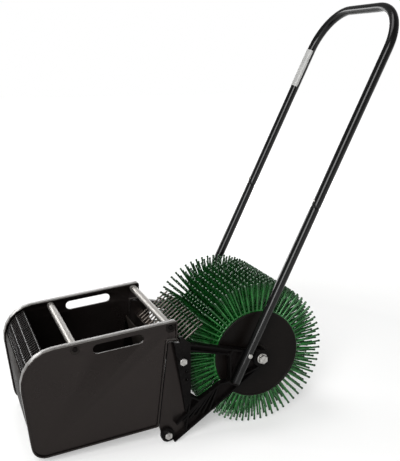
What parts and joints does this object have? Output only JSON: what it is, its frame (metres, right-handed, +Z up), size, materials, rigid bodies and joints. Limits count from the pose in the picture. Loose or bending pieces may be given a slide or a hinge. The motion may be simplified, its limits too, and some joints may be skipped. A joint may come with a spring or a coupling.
{
  "type": "rolling nut gatherer",
  "caption": "Push-along roller of flexible finger discs between side brackets, with a stripping comb, a lift-off collecting basket in front and a U-shaped tube handle behind.",
  "frame": {"origin": "on the floor, under the middle of the bounding box", "axes": "+X along the roller's axis, to the right for someone who faces the machine's front; -Y the direction of travel; +Z up"},
  "size_m": [0.3782, 0.9162, 0.9953],
  "materials": {
    "black_plastic": "satin black moulded plastic",
    "panel_plastic": "satin black-brown moulded plastic",
    "green_plastic": "semi-gloss dark green flexible plastic",
    "black_tube": "gloss black powder coat",
    "zinc": "bright zinc plate",
    "aluminium": "satin drawn tube",
    "steel_wire": "drawn spring wire",
    "label": "plain white film"
  },
  "bodies": {
    "frame": {"bracket_left": "black_plastic", "bracket_right": "black_plastic", "axle_bolt": "zinc", "axle_nut": "zinc", "axle_washer_left": "zinc", "axle_washer_right": "zinc", "upper_tie_bolt": "zinc", "upper_tie_nut": "zinc", "lower_tie_bolt": "zinc", "lower_tie_nut": "zinc", "upper_spacer": "zinc", "lower_spacer": "zinc", "comb": "steel_wire", "lower_handle_left": "black_tube", "handle_pin_left": "zinc", "handle_plug_left": "black_plastic", "snap_spring_left": "zinc", "lower_handle_right": "black_tube", "handle_pin_right": "zinc", "handle_plug_right": "black_plastic", "snap_spring_right": "zinc", "upper_handle": "black_tube", "handle_label": "label"},
    "roller": {"finger_disc_01": "green_plastic", "finger_disc_02": "green_plastic", "finger_disc_03": "green_plastic", "finger_disc_04": "green_plastic", "finger_disc_05": "green_plastic", "finger_disc_06": "green_plastic", "finger_disc_07": "green_plastic", "finger_disc_08": "green_plastic", "finger_disc_09": "green_plastic", "finger_disc_10": "green_plastic", "finger_disc_11": "green_plastic", "finger_disc_12": "green_plastic", "finger_disc_13": "green_plastic", "finger_disc_14": "green_plastic", "finger_disc_15": "green_plastic", "finger_disc_16": "green_plastic", "hub_tube": "zinc", "end_disc_left": "black_plastic", "bushing_left": "black_plastic", "end_disc_right": "black_plastic", "bushing_right": "black_plastic"},
    "basket": {"side_panel_left": "panel_plastic", "front_bar_screw_left": "zinc", "rear_bar_screw_left": "zinc", "side_panel_right": "panel_plastic", "front_bar_screw_right": "zinc", "rear_bar_screw_right": "zinc", "basket_shell": "panel_plastic", "front_grille": "panel_plastic", "front_cross_bar": "aluminium", "rear_cross_bar": "aluminium"},
    "snap_left": {"snap_button_left": "zinc"},
    "snap_right": {"snap_button_right": "zinc"}
  },
  "joints": [
    {"name": "roller_spin", "type": "hinge", "parent": "frame", "child": "roller", "pos_m": [0, 0.0995, 0.175], "axis": [1, 0, 0], "continuous": true},
    {"name": "basket_lift", "type": "slide", "parent": "frame", "child": "basket", "axis": [0, 0, 1], "range_m": [0, 0.25]},
    {"name": "snap_button_left_press", "type": "slide", "parent": "frame", "child": "snap_left", "axis": [0, 0.8992, -0.4376], "range_m": [0, 0.0052], "stiffness_N_per_m": 2000},
    {"name": "snap_button_right_press", "type": "slide", "parent": "frame", "child": "snap_right", "axis": [0, 0.8992, -0.4376], "range_m": [0, 0.0052], "stiffness_N_per_m": 2000}
  ]
}
